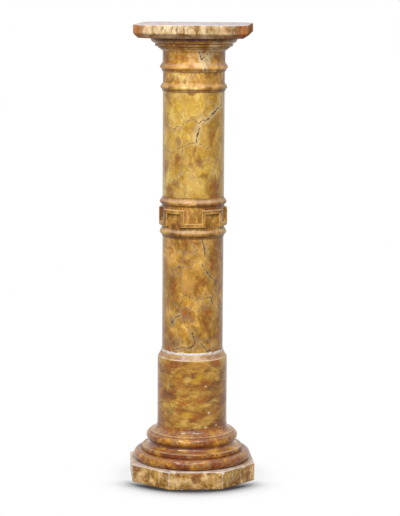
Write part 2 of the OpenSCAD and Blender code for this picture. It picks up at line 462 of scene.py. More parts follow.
def marble(name, node, look):
    stone = bpy.data.materials.new(name)
    stone.use_nodes = True
    sheet = NodeSheet(stone.node_tree)
    turn = math.radians(look["radius"])  # mm round the stone for one degree
    place = sheet.scaled(sheet.add("ShaderNodeTexCoord", output="Object"), 1 / mm)
    x, y, z = sheet.parts(place)
    # the back half carries the same veins and patches as the front, upside down
    around = sheet.maths("ARCTAN2", x, sheet.maths("ABSOLUTE", y)) * look["radius"]
    middle = sum(footAndHead(node)) / 2
    up = middle + (z - middle) * sheet.maths("SIGN", -y)
    shifted = sheet.vector("ADD", place, look["shift"])
    stretched = sheet.vector("MULTIPLY", shifted, (1, 1, look["squeeze"]))
    drift = sheet.wobble(stretched, cloudSizes["drift"], 3, 0.55)
    warped = sheet.vector("ADD", stretched, sheet.scaled(drift, look["swirl"]))
    shake = sheet.wobble(shifted, cloudSizes["shake"], 5, 0.62)
    spot = sheet.vector("ADD", sheet.joined(around, up), sheet.scaled(shake, wander["line"]))
    softSpot = sheet.vector("ADD", spot, sheet.scaled(drift, wander["patch"]))

    # the ground: broken lumps, cloudy from deep ochre to cream
    fine = sheet.cloud(warped, cloudSizes["fine"], 6, 0.65)
    ragged = (fine - 0.5) * 1.8
    broken = sheet.vector("ADD", warped, sheet.scaled(shake, wander["lump"]))
    lumps = {"Vector": broken, "Scale": 1 / look["cells"]}
    lump = sheet.parts(sheet.add("ShaderNodeTexVoronoi", {"feature": "F1"}, lumps, "Color"))[0]
    cells = sheet.add("ShaderNodeTexVoronoi", {"feature": "DISTANCE_TO_EDGE"}, lumps)
    big = sheet.cloud(warped, look["patch"], 7, 0.6) + (lump - 0.5) * look["lumps"]
    colour = sheet.ramp(big, look["ground"])

    def patches(kind, scale, low, high):
        # scattered patches of one kind, and the ones that this stone has in given places
        at = sheet.vector("ADD", warped, offsets[kind])
        share = sheet.step(sheet.cloud(at, look["patch"] * scale, 6, 0.6), low, high) * look[kind + "Share"]
        if kind + "Spots" not in look:
            return share
        return sheet.maths("MAXIMUM", share, blotMask(sheet, softSpot, look[kind + "Spots"], turn, ragged))

    rust = patches("rust", 0.62, 0.49, 0.62) * sheet.step(fine, 0.3, 0.6, 0.6, 1)
    colour = sheet.tinted(rust * cover["rust"], colour, look["rust"])
    pale = patches("pale", 0.5, 0.53, 0.66) * sheet.step(fine, 0.66, 0.38, 0.4, 1)
    colour = sheet.tinted(pale * cover["pale"], colour, look["pale"])
    if "yellowSpots" in look:
        glow = blotMask(sheet, softSpot, look["yellowSpots"], turn, ragged)
        colour = sheet.tinted(glow * cover["yellow"], colour, look["yellow"])
    if "darkSpots" in look:
        stain = blotMask(sheet, softSpot, look["darkSpots"], turn, ragged)
        stain = stain * sheet.step(fine, 0.3, 0.6, 0.3, 1)
        colour = sheet.tinted(stain * cover["stain"], colour, look["stain"])

    # mottling: each patch is full of finer clouds and grain
    colour = sheet.tinted(look["mottle"], colour, sheet.ramp(fine, mottleTones), "OVERLAY")
    grain = sheet.cloud(shifted, cloudSizes["grain"], 3, 0.6)
    colour = sheet.tinted(cover["grain"], colour, sheet.ramp(grain, grainTones), "OVERLAY")
    colour = sheet.tinted(1.0, colour, (*look["cast"], 1), "MULTIPLY")

    # natural cracks round the lumps, patchy
    at = sheet.vector("ADD", shifted, offsets["crack"])
    where = sheet.step(sheet.cloud(at, cloudSizes["cracked"], 3, 0.5), 0.45, 0.6) * look["crackle"]
    colour = sheet.tinted(sheet.step(cells, 0.12, 0.02) * where * cover["crackHalo"], colour, look["halo"])
    width = sheet.step(sheet.cloud(shifted, cloudSizes["crack"], 3, 0.6), 0.35, 0.65, 0.015, 0.06)
    line = sheet.step(cells - width, 0.02, -0.02) * where
    colour = sheet.tinted(line * cover["crack"], colour, look["crack"])

    # the veins that cross this stone, dark lines in a pale band
    if "veins" in look:
        gap = veinLine(sheet, spot, look["veins"], turn)
        width = sheet.step(sheet.cloud(shifted, cloudSizes["vein"], 3, 0.6), 0.38, 0.62, 0.8, 1.6)
        band = sheet.step(gap + ragged * 9, 13, 0) * look["haloShare"]
        colour = sheet.tinted(band, colour, look["halo"])
        colour = sheet.tinted(sheet.step(gap - width, 0.8, 0) * cover["vein"], colour, look["vein"])
    if "thinVeins" in look:
        gap = veinLine(sheet, spot, look["thinVeins"], turn)
        band = sheet.step(gap + ragged * 4, 8, 1) * look["haloShare"] * cover["thinHalo"]
        colour = sheet.tinted(band, colour, look["halo"])
        breaks = sheet.step(sheet.cloud(shifted, cloudSizes["vein"], 3, 0.6), 0.36, 0.56, 0.5, 1)
        line = sheet.step(gap, 1.9, 0.4) * breaks
        colour = sheet.tinted(line * cover["thinVein"], colour, look["thinVein"])

    # grime and painted shade in the grooves and under the mouldings, dust on the ledges, chalky wear on
    # arrises and chips
    # each listed height gets a darker band: partly grime, partly painted shade in the groove or under the
    # overhang
    grime = None
    for height, half, strength in look.get("grime", []):
        line = sheet.step(sheet.maths("ABSOLUTE", z - height), half, half * 0.25) * strength
        grime = line if grime is None else sheet.maths("MAXIMUM", grime, line)
    if grime is not None:
        grime = grime * sheet.step(sheet.cloud(shifted, cloudSizes["grime"], 4, 0.6), 0.3, 0.6, 0.55, 1)
        colour = sheet.tinted(grime, colour, look["dirt"])
    facing = sheet.parts(sheet.add("ShaderNodeNewGeometry", output="Normal"))[2]
    patchy = sheet.step(sheet.cloud(shifted, cloudSizes["dust"], 5, 0.62), 0.36, 0.62, 0.45, 1)
    dust = sheet.step(facing, 0.18, 0.8) * patchy * look["dustShare"]
    colour = sheet.tinted(dust, colour, look["dust"])
    # painted shadow on the sunk band under the key's bars, in the dirt colour
    colour = sheet.tinted(sheet.mark("soot") * cover["soot"], colour, look["dirt"])
    chalk = sheet.step(sheet.mark("bruise"), 0.1, 0.6)
    for height, half, strength in look.get("worn", []):
        line = sheet.step(sheet.maths("ABSOLUTE", z - height + (fine - 0.5) * 2.2), half, half * 0.3)
        chalk = sheet.maths("MAXIMUM", chalk, line * strength * patchy)
    if "arrisShare" in look:
        frayed = sheet.mark("edge") + (fine - 0.5) * 7 + (grain - 0.5) * 2
        line = sheet.step(frayed, look["arrisLine"], look["arrisLine"] * 0.2) * patchy
        chalk = sheet.maths("MAXIMUM", chalk, line * look["arrisShare"])
    colour = sheet.tinted(chalk * cover["chalk"], colour, look["chalk"])

    rough = finish["rough"] + sheet.step(fine, 0.3, 0.7) * finish["fineRough"] + dust * finish["dustRough"]
    rough = sheet.maths("ADD", rough, chalk * finish["chalkRough"], clamp=True)
    dull = dust * finish["dustDull"] + chalk * finish["chalkDull"]
    coat = sheet.maths("SUBTRACT", look["polish"], dull, clamp=True)
    pits = sheet.cloud(shifted, cloudSizes["pits"], 4, 0.6) * 0.4 + grain * 0.12 + chalk * grain * 1.5
    bump = sheet.add("ShaderNodeBump", None, {"Strength": 0.16, "Distance": 0.0006, "Height": pits})
    body = sheet.add("ShaderNodeBsdfPrincipled", None, {
        "Base Color": colour, "Roughness": rough, "Coat Weight": coat, "Normal": bump,
        "IOR": 1.5, "Specular IOR Level": look["shine"], "Coat Roughness": 0.09, "Coat IOR": 1.5})
    sheet.add("ShaderNodeOutputMaterial", None, {0: body})
    return stone


# tones that every stone shares; each stone's own look is laid over these
marbleTones = {
    "squeeze": 0.75, "swirl": 46, "cells": 38, "lumps": 0.18,
    "rust": tint(176, 96, 30), "rustShare": 0.55, "pale": tint(226, 202, 146), "paleShare": 0.6,
    "yellow": tint(210, 172, 50), "stain": tint(110, 62, 28), "mottle": 0.7,
    "vein": tint(46, 34, 32), "thinVein": tint(92, 64, 32), "crack": tint(112, 72, 40),
    "halo": tint(226, 208, 162), "haloShare": 0.6,
    # the dirt colour darkens the grime bands, which also paint shade, and paints the shadow under the key
    "crackle": 0.7, "dirt": tint(84, 38, 14), "dust": tint(190, 176, 170), "dustShare": 0.4,
    "chalk": tint(222, 210, 194), "polish": 0.35, "shine": 0.2,
}


def finishMarble(piece, node, name, stone, angle=40):
    finishStone(piece, node, marble(name, node, marbleTones | stone), angle)


def plainShaft(name, node, stone):
    foot, head = footAndHead(node)
    return turnedStone(name, [(0, foot), (stone["radius"], foot), (stone["radius"], head), (0, head)], stone)


upperShaft = {
    "radius": 74, "steps": 256, "gap": 2.6, "arris": 0.8, "shift": (0, 0, 0), "patch": 70, "mottle": 0.5,
    "ground": shades((190, 136, 44), (204, 158, 66), (212, 174, 84), (218, 186, 104), (228, 206, 140)),
    "cast": (0.82, 0.90, 0.56), "crackle": 0.45, "rustShare": 0.4, "haloShare": 0.32,
    "rust": tint(168, 84, 20),
    "veins": [
        [(61, 945), (62, 922), (64, 910), (51, 901), (39, 892), (32, 884), (23, 874), (19, 879), (13, 872),
         (11, 864), (8, 852), (6, 834), (5, 824)],
    ],
    "thinVeins": [
        [(5, 824), (13, 819), (22, 812), (31, 807)],
        [(5, 824), (-6, 821), (-14, 816), (-20, 811), (-33, 805)],
        [(-60, 863), (-50, 858), (-38, 851), (-33, 857), (-22, 861), (-10, 875), (0, 878), (11, 866)],
        [(-37, 848), (-30, 836), (-20, 811), (-21, 798), (-23, 764), (-23, 746), (-32, 740)],
        [(-63, 817), (-51, 799), (-44, 781)],
        [(-50, 732), (-35, 730), (-24, 719)],
        [(-35, 700), (-24, 686)],
        [(61, 798), (52, 786), (43, 763), (36, 750)],
    ],
    "rustSpots": [(-58, 930, 12, 8), (-7, 938, 13, 5), (33, 840, 10, 22), (-33, 823, 7, 11),
                  (-30, 785, 9, 14), (-60, 761, 14, 24), (-37, 724, 16, 10), (4, 803, 6, 13), (-6, 772, 8, 9),
                  (20, 741, 10, 7), (42, 722, 22, 20), (44, 699, 20, 10), (-52, 708, 16, 18),
                  (12, 778, 12, 16), (-20, 742, 6, 12)],
    "paleSpots": [(-16, 902, 22, 22), (24, 918, 18, 12), (11, 872, 12, 9), (30, 892, 14, 7), (12, 846, 8, 12),
                  (0, 838, 8, 9), (-31, 858, 10, 5), (-37, 843, 6, 6), (-20, 800, 10, 9), (1, 752, 10, 8),
                  (11, 760, 7, 8), (41, 748, 11, 9), (-13, 780, 7, 20), (10, 712, 14, 16), (60, 800, 10, 18),
                  (-38, 932, 8, 5), (55, 925, 10, 14)],
    "yellowSpots": [(-9, 865, 16, 10), (-18, 841, 13, 9), (-40, 756, 11, 16), (-15, 752, 9, 20),
                    (-30, 905, 18, 18), (-10, 905, 20, 18), (20, 920, 18, 16)],
    # darker bands at the shaft's ends, by the rings: grime and painted shade
    "grime": [(689, 2.4, 0.55), (941, 2.6, 0.5)],
}


def buildUpperShaft(stone):
    piece = plainShaft("upperShaft", "upper_shaft", stone)
    finishMarble(piece, "upper_shaft", "upperShaftMarble", stone)


lowerShaft = {
    "radius": 73.6, "steps": 256, "gap": 2.6, "arris": 0.8, "shift": (210, -130, 40), "patch": 50,
    "ground": shades((150, 96, 26), (172, 122, 40), (188, 144, 64), (200, 164, 90), (216, 190, 128)),
    "cast": (0.99, 0.91, 0.43), "mottle": 0.6, "thinVein": tint(80, 52, 24), "haloShare": 0.14,
    "vein": tint(74, 48, 28),
    "veins": [
        [(17, 594), (19, 582), (23, 570), (24, 548)],
        [(18, 534), (23, 519), (30, 507), (36, 498), (44, 493)],
        [(-43, 388), (-31, 404), (-24, 408)],
        [(-3, 368), (1, 357), (6, 345), (14, 341), (22, 331), (28, 322), (38, 324), (41, 330)],
        [(-2, 366), (2, 348), (3, 338), (-5, 329), (-19, 330), (-31, 323)],
        [(34, 450), (38, 443), (42, 434)],
    ],
    "thinVeins": [
        [(-18, 486), (-19, 461), (-12, 455), (-1, 454), (7, 440), (15, 447), (26, 450), (34, 450)],
        [(25, 458), (34, 450)],
        [(-20, 455), (-18, 442), (-23, 433)],
        [(-53, 420), (-49, 408), (-41, 398), (-43, 387)],
        [(-18, 396), (-15, 386), (-9, 378), (-4, 373), (5, 373), (11, 370)],
        [(11, 352), (17, 346), (20, 336)],
        [(-37, 345), (-37, 331)], [(-29, 376), (-25, 356)], [(54, 429), (66, 417)],
        [(-50, 557), (-45, 538)], [(-29, 529), (-23, 519)], [(-22, 503), (-17, 499)],
        [(3, 539), (-3, 537), (-12, 547)],
    ],
    "rustSpots": [(-47, 568, 8, 12), (-2, 587, 22, 4), (-17, 541, 16, 6), (-40, 512, 6, 12), (19, 487, 8, 14),
                  (-36, 472, 6, 20), (-54, 440, 5, 26), (-14, 412, 10, 8), (-2, 406, 12, 8),
                  (28, 416, 14, 12), (-18, 324, 10, 6), (-53, 326, 8, 9), (60, 350, 8, 26)],
    "pale": tint(222, 200, 138),
    "paleSpots": [(-27, 586, 5, 7), (4, 568, 16, 14), (-8, 551, 10, 9), (12, 530, 15, 18), (-8, 484, 16, 18),
                  (-3, 466, 8, 8), (-22, 441, 4, 9), (-16, 383, 8, 8), (-31, 366, 5, 12), (-15, 336, 12, 7),
                  (46, 341, 14, 11), (26, 359, 10, 9), (12, 323, 10, 6), (37, 384, 10, 12), (34, 582, 12, 9)],
    "yellowSpots": [(10, 559, 9, 10), (63, 513, 8, 20), (-7, 443, 8, 9), (-16, 360, 8, 12), (41, 366, 5, 14)],
    "darkSpots": [(46, 490, 9, 10), (-43, 392, 8, 11), (34, 449, 3, 4), (-33, 323, 5, 4), (-26, 522, 5, 6)],
    "stain": tint(92, 50, 44),
    # a darker band at the top, under the collar's ring: grime and painted shade
    "grime": [(592.5, 2.6, 0.6)],
}


def buildLowerShaft(stone):
    piece = plainShaft("lowerShaft", "lower_shaft", stone)
    finishMarble(piece, "lower_shaft", "lowerShaftMarble", stone)


socleDrum = {
    "radius": 84.3, "steps": 288, "gap": 2.6, "arris": 1.1, "shift": (-90, 350, 120), "patch": 54,
    "shoulder": (82.6, 8), "bevel": (76, 11.5), "squeeze": 2.3, "swirl": 34,
    "ground": shades((130, 76, 26), (152, 98, 36), (170, 122, 56), (182, 140, 72), (196, 160, 96)),
    "cast": (1.20, 1.16, 0.6), "mottle": 0.5, "crackle": 0.2, "chalk": tint(204, 184, 158),
    "rustShare": 0.5, "paleShare": 0.35,
    "rustSpots": [(-38, 286, 22, 5), (17, 290, 20, 4), (44, 288, 16, 7), (-16, 201, 16, 5), (12, 201, 14, 5),
                  (3, 160, 14, 5)],
    "paleSpots": [(-8, 252, 12, 9), (-43, 232, 3, 12), (38, 198, 16, 5), (-13, 152, 14, 6), (24, 190, 14, 5),
                  (-38, 180, 3, 16)],
    "yellowSpots": [(12, 257, 12, 9), (7, 247, 10, 7), (-24, 260, 9, 7), (-7, 164, 16, 7)],
    "darkSpots": [(-34, 235, 14, 8), (-36, 210, 12, 9), (34, 228, 14, 10), (35, 139, 10, 7), (22, 274, 10, 8),
                  (-38, 172, 10, 10), (55, 258, 8, 20), (70, 200, 8, 50)],
    "worn": [(299, 1.7, 1.0)], "dust": tint(188, 172, 158), "dustShare": 0.6,
    "chips": [((23, 237, 84.3), 2.6, 0.8), ((29, 171, 84.3), 3.5, 1.0), ((23, 135, 84.3), 4.2, 1.2),
              ((44, 138, 84.3), 2.8, 0.9), ((-140, 299, 84.3), 8, 2.6), ((165, 160, 84.3), 4, 1),
              ((98, 298, 84.3), 6, 2)],
}


def buildSocleDrum(stone):
    foot, head = footAndHead("socle_drum")
    shoulderRadius, shoulderRise = stone["shoulder"]
    bevelRadius, bevelRise = stone["bevel"]
    corner = head - bevelRise
    outline = [(0, foot), (stone["radius"], foot)]
    reach = stone["radius"] - shoulderRadius
    outline += arcPoints(shoulderRadius, corner - shoulderRise, reach, shoulderRise, 0, 90, 8)
    outline += [(bevelRadius, head), (0, head)]
    piece = turnedStone("socleDrum", outline, stone)
    knockChips(piece, stone["chips"])
    finishMarble(piece, "socle_drum", "socleMarble", stone)


turnedBase = {
    "radius": 125, "steps": 320, "gap": 3, "arris": 0.9, "shift": (60, 90, -400), "patch": 36, "squeeze": 1.1,
    "lowTorus": (129.1, 12.7), "fillet": (121.5, 9.8), "scotia": (103, 11), "smallFillet": 2,
    "upTorus": (99.9, 11.3), "lip": (102, 2.2), "flare": (85, 18),
    "ground": shades((128, 62, 16), (152, 84, 24), (174, 110, 40), (190, 138, 64), (206, 166, 100)),
    "cast": (1.18, 1.05, 0.16), "rust": tint(156, 72, 22), "rustShare": 0.8, "crackle": 0.5, "polish": 0.62,
    # darker bands in the hollows and under the tori and lip: grime and painted shade
    "grime": [(68, 2.4, 0.85), (88.5, 5, 0.8), (43.4, 2.6, 0.5), (112.6, 1.6, 0.75)],
    "worn": [(115.2, 1.3, 0.5), (77.5, 1.2, 0.45)], "chalk": tint(206, 180, 140),
    "dirt": tint(96, 34, 12), "dust": tint(186, 160, 128), "dustShare": 0.2, "shine": 0.1,
}


def buildBase(stone):
    foot, head = footAndHead("base")
    lowMiddle, lowRound = stone["lowTorus"]
    filletRadius, filletRise = stone["fillet"]
    scotiaRadius, scotiaRise = stone["scotia"]
    upMiddle, upRound = stone["upTorus"]
    lipRadius, lipRise = stone["lip"]
    flareRadius, flareRise = stone["flare"]
    filletTop = foot + 2 * lowRound + filletRise
    hollowTop = filletTop + scotiaRise
    upZ = hollowTop + stone["smallFillet"] + upRound
    lipTop = upZ + upRound + lipRise
    lowEnd = math.degrees(math.acos((filletRadius - lowMiddle) / lowRound))
    upStart = math.degrees(math.acos((scotiaRadius - upMiddle) / upRound))
    upEnd = math.degrees(math.acos((lipRadius - upMiddle) / upRound))
    outline = [(0, foot)]
    outline += arcPoints(lowMiddle, foot + lowRound, lowRound, lowRound, -90, lowEnd, 18)
    outline += arcPoints(filletRadius, hollowTop, filletRadius - scotiaRadius, scotiaRise, 270, 180, 12)
    outline += arcPoints(upMiddle, upZ, upRound, upRound, -upStart, upEnd, 16)
    outline += arcPoints(lipRadius, lipTop + flareRise, lipRadius - flareRadius, flareRise, 270, 180, 12)
    outline += [(0, head)]
    piece = turnedStone("turnedBase", outline, stone)
    finishMarble(piece, "base", "baseMarble", stone)


neckDrum = {
    "radius": 74, "steps": 256, "gap": 2.2, "arris": 0.7, "shift": (15, 500, 30), "patch": 34,
    "fillet": (76.2, 4.3), "ring": (79.9, 4.2, 12), "crackle": 0.3, "rustShare": 0.7,
    "ground": shades((172, 106, 26), (196, 138, 46), (210, 162, 72), (220, 184, 100), (230, 206, 144)),
    # a darker band under the ring: grime and painted shade
    "cast": (0.81, 0.95, 0.81), "grime": [(944.4, 3.2, 0.75)], "dirt": tint(104, 42, 16),
    "dust": tint(206, 180, 150), "dustShare": 0.35, "polish": 0.15,
}


def buildNeckDrum(stone):
    foot, head = footAndHead("neck_drum")
    outline = ringedFoot(stone, foot) + [(stone["radius"], head), (0, head)]
    piece = turnedStone("neckDrum", outline, stone)
    finishMarble(piece, "neck_drum", "neckMarble", stone)


capital = {
    "radius": 74.8, "steps": 256, "gap": 2.2, "arris": 0.7, "shift": (-240, 80, 300), "patch": 40,
    "fillet": (77, 5.2), "ring": (81.4, 4.3, 13), "wall": 23.5, "ogee": (82.5, 8.5), "step": (86, 4.5),
    "band": (93.2, 7.3), "ovolo": (94.3, 104.3),
    "ground": shades((162, 94, 24), (188, 126, 42), (204, 150, 66), (216, 174, 94), (228, 202, 142)),
    "cast": (1.12, 1.24, 1.06), "mottle": 0.5, "crackle": 0.4, "rustShare": 0.6,
    "veins": [
        [(33, 1049), (33, 1039), (31, 1030)],
        [(9, 1036), (12, 1028), (13, 1018), (20, 1025), (26, 1033)],
        [(19, 1025), (26, 1014)], [(15, 1010), (18, 1000), (20, 990)],
    ],
    "rustSpots": [(-57, 1022, 12, 10), (-37, 1026, 10, 8), (-22, 1020, 7, 9), (51, 1022, 8, 8),
                  (-50, 994, 20, 4)],
    "paleSpots": [(4, 1007, 14, 7), (-5, 1014, 9, 6), (16, 1003, 8, 8), (-9, 1026, 8, 5), (26, 1022, 8, 8)],
    "yellowSpots": [(-41, 1028, 8, 7), (-30, 1012, 7, 6)],
    # darker bands: grime and painted shade in the grooves and under the ring; the widest, at 1067, paints the
    # shade under the slab
    "grime": [(991, 3.6, 0.75), (1034.5, 2, 0.4), (1043.2, 1.8, 0.7), (1047.6, 2, 0.8), (1055, 1.7, 0.8),
              (1067, 9, 0.95)],
    "dirt": tint(70, 34, 16), "dustShare": 0.35, "polish": 0.15,
}


def buildCapital(stone):
    foot, head = footAndHead("capital")
    outline = ringedFoot(stone, foot)
    ogeeFoot = outline[-1][1] + stone["wall"]
    ogeeRadius, ogeeRise = stone["ogee"]
    stepRadius, stepRise = stone["step"]
    bandRadius, bandRise = stone["band"]
    ovoloFoot, ovoloHead = stone["ovolo"]
    stepFoot = ogeeFoot + ogeeRise
    bandFoot = stepFoot + stepRise
    ovoloZ = bandFoot + bandRise
    outline += ogeePoints((stone["radius"], ogeeFoot), (ogeeRadius, stepFoot))
    outline += [(stepRadius, stepFoot), (stepRadius, bandFoot), (bandRadius, bandFoot), (bandRadius, ovoloZ)]
    outline += arcPoints(ovoloFoot, head, ovoloHead - ovoloFoot, head - ovoloZ, -90, 0, 10)
    outline += [(0, head)]
    piece = turnedStone("capitalStone", outline, stone)
    finishMarble(piece, "capital", "capitalMarble", stone)


keyCollar = {
    "radius": 75.1, "steps": 450, "gap": 2.2, "arris": 0.6, "shift": (130, 40, -220), "patch": 36,
    "fillet": (75.4, 4), "ring": (80.4, 5.5, 12), "band": 55, "head": 74,
    "keyOut": 7, "keyFoot": 5, "keyTall": 41, "line": 9.2, "uprights": 10, "halfLine": 3.2, "keyEase": 0.9,
    # how far the painted shadow under the key reaches down, in mm
    "sootDrop": 4.5,
    "ground": shades((148, 86, 24), (174, 110, 36), (192, 136, 56), (206, 158, 80), (220, 188, 126)),
    "cast": (0.88, 0.99, 0.73), "crackle": 0.15, "rustShare": 0.6, "paleShare": 0.45,
    # darker bands under the rings and at the slope's foot: grime and painted shade
    "grime": [(596.3, 2.8, 0.6), (669.5, 3.0, 0.6), (684, 1.8, 0.35)],
    "dirt": tint(100, 50, 14), "dust": tint(216, 186, 152), "dustShare": 0.65, "polish": 0.15,
    "arrisLine": 2.2, "arrisShare": 0.5, "chalk": tint(226, 194, 140),
}


def buildKeyCollar(stone):
    foot, head = footAndHead("key_collar")
    lower = ringedFoot(stone, foot)
    bandFoot = lower[-1][1]
    bandHead = bandFoot + stone["band"]
    keyFoot = bandFoot + stone["keyFoot"]
    keyHead = keyFoot + stone["keyTall"]
    bars = [keyFoot, keyFoot + stone["line"], keyHead - stone["line"], keyHead]
    ringRadius, under, top = stone["ring"]
    upper = ringPoints(stone["radius"], ringRadius, stone["head"], bandHead, under, top) + [(0, head)]
    sunk = [Vector((stone["radius"], z)) for z in bars]
    outline = divided(eased(lower + [(stone["radius"], keyFoot - 1)], stone["arris"]), stone["gap"])
    outline += divided(sunk, stone["gap"])
    outline += divided(eased([(stone["radius"], keyHead + 1)] + upper, stone["arris"]), stone["gap"])
    pitch = 360 / stone["uprights"]
    half = stone["halfLine"]
    start = math.radians(-90 + pitch / 2 - half)  # the spin starts on an upright's edge
    piece = spunStone("keyCollar", outline, stone["steps"], start)

    def alongKey(place):
        # whether the key runs low there, and whether an upright stands there; two whole turns are
        # added so that the count of spans starts above nothing
        turn = math.degrees(math.atan2(place.x, -place.y)) + 2 * 360 + pitch / 2
        span, inSpan = divmod(turn, pitch)
        return int(span) % 2 == 0, min(inSpan, pitch - inSpan) < half

    def onKey(face):
        height = face.center.z / mm
        if abs(face.center.xy.length / mm - stone["radius"]) > 0.2 or not keyFoot < height < keyHead:
            return False
        low, upright = alongKey(face.center)
        return upright or (height < bars[1] if low else height > bars[2])

    openPiece(piece)
    pick(piece, "FACE", onKey)
    bpy.ops.mesh.extrude_region_shrink_fatten(TRANSFORM_OT_shrink_fatten={"value": stone["keyOut"] * mm})
    bpy.ops.object.mode_set(mode="OBJECT")
    outside = stone["radius"] + stone["keyOut"] - 0.5
    beside = {}
    for face in piece.data.polygons:
        for key in face.edge_keys:
            beside.setdefault(key, []).append(face.normal.copy())

    def onRim(edge):
        ends = [math.hypot(*piece.data.vertices[i].co.xy) / mm for i in edge.vertices]
        first, second = beside[tuple(edge.key)][:2]
        return min(ends) > outside and first.angle(second) > math.radians(50)

    rim = {i for edge in piece.data.edges if onRim(edge) for i in edge.vertices}
    lines = kdtree.KDTree(len(rim))
    for i in rim:
        lines.insert(piece.data.vertices[i].co, i)
    lines.balance()
    bpy.ops.object.mode_set(mode="EDIT")
    pick(piece, "EDGE", onRim)
    bpy.ops.mesh.bevel(offset=stone["keyEase"] * mm, segments=3)
    bpy.ops.mesh.select_mode(type="VERT")
    closeShell()
    edges = piece.data.attributes.new("edge", "FLOAT", "POINT")
    paintedKeyShadows = piece.data.attributes.new("soot", "FLOAT", "POINT")
    for index, corner in enumerate(piece.data.vertices):
        radius, height = corner.co.xy.length / mm, corner.co.z / mm
        far = lines.find(corner.co)[2] / mm if radius > outside - 1 else farOff
        edges.data[index].value = min(farOff, far)
        # a painted shadow lies on the sunk band, just under the key
        low, upright = alongKey(corner.co)
        under = bars[0] if low or upright else bars[2]
        if radius < outside - 1.5 and -0.2 < under - height < stone["sootDrop"]:
            paintedKeyShadows.data[index].value = 1 - (under - height) / stone["sootDrop"]
    finishMarble(piece, "key_collar", "collarMarble", stone, 35)


def cutStone(name, stone, low, high):
    # a block with its upright corners clipped and its arrises eased, then cut into a fine grid
    half, gap = stone["half"], stone["gap"]
    size = (2 * half * mm, 2 * half * mm, (high - low) * mm)
    bpy.ops.object.select_all(action="DESELECT")
    bpy.ops.mesh.primitive_cube_add(size=1, location=(0, 0, (low + high) / 2 * mm), scale=size)
    piece = bpy.context.object
    piece.name = piece.data.name = name
    bpy.ops.object.transform_apply(location=True, rotation=False, scale=True)
    bpy.ops.object.mode_set(mode="EDIT")

    def upright(edge):
        ends = [piece.data.vertices[i].co for i in edge.vertices]
        return (ends[0].xy - ends[1].xy).length < mm

    def lowest(edge):
        return all(piece.data.vertices[i].co.z < (low + 0.1) * mm for i in edge.vertices)

    pick(piece, "EDGE", upright)
    bpy.ops.mesh.bevel(offset=stone["clip"] * mm)
    if stone["chamfer"]:
        pick(piece, "EDGE", lowest)
        bpy.ops.mesh.bevel(offset=stone["chamfer"] * mm)
    bpy.ops.mesh.select_all(action="SELECT")
    bpy.ops.mesh.bevel(offset=stone["ease"] * mm, segments=3)
    across, up = math.ceil(2 * half / gap), math.ceil((high - low) / gap)
    cuts = [((0, 0, low + (high - low) * i / up), (0, 0, 1)) for i in range(1, up)]
    cuts += [((-half + 2 * half * i / across, 0, 0), (1, 0, 0)) for i in range(1, across)]
    cuts += [((0, -half + 2 * half * i / across, 0), (0, 1, 0)) for i in range(1, across)]
    for place, facing in cuts:
        bpy.ops.mesh.select_all(action="SELECT")
        bpy.ops.mesh.bisect(plane_co=Vector(place) * mm, plane_no=facing)
    bpy.ops.mesh.select_mode(type="VERT")
    closeShell()
    return piece


# wear on arrises: its roughness, how much less the lowest arris wears, how far a bite goes inwards
# and down, and how much of it shows as a bruise
wearing = {"coarse": (90, 1), "fine": (260, 0.6), "lowest": 1.4, "inward": 0.5, "down": 0.4, "bruise": 0.9}


def wearArrises(piece, stone, low, high):
    # marks how far each point is from an arris, in mm, and knocks the arrises about
    half, diagonal = stone["half"], math.sqrt(2)
    reach = (2 * half - stone["clip"]) / diagonal
    marks = piece.data.attributes.new("edge", "FLOAT", "POINT")
    bruises = piece.data.attributes.new("bruise", "FLOAT", "POINT")
    for index, corner in enumerate(piece.data.vertices):
        x, y, z = corner.co / mm
        flats = sorted([half - abs(x), half - abs(y), reach - abs(x + y) / diagonal,
                        reach - abs(x - y) / diagonal])
        wall, upright = max(0, flats[0]), max(0, flats[1]) * diagonal
        lowest = math.hypot(wall, z - low) * wearing["lowest"]
        edge = min(math.hypot(wall, upright), math.hypot(wall, high - z), lowest)
        marks.data[index].value = min(edge, farOff)
        rough = roughness(corner.co, wearing["coarse"], wearing["fine"])
        bite = max(0, rough + stone["bite"]) * max(0, 1 - edge / stone["wearWidth"])
        deep = bite * stone["wearDepth"]
        corner.co.x -= x / half * deep * wearing["inward"] * mm
        corner.co.y -= y / half * deep * wearing["inward"] * mm
        if high - z < stone["wearWidth"]:
            corner.co.z -= deep * wearing["down"] * mm
        bruises.data[index].value = min(1, bite * wearing["bruise"])


def wornBlock(name, node, stone):
    foot, head = footAndHead(node)
    piece = cutStone(name, stone, foot, head)
    wearArrises(piece, stone, foot, head)
    choose(piece)
    piece.rotation_euler.z = math.radians(stone["turn"])
    bpy.ops.object.transform_apply(location=False, rotation=True, scale=False)
    knockChips(piece, stone["chips"], 0.4)
    return piece


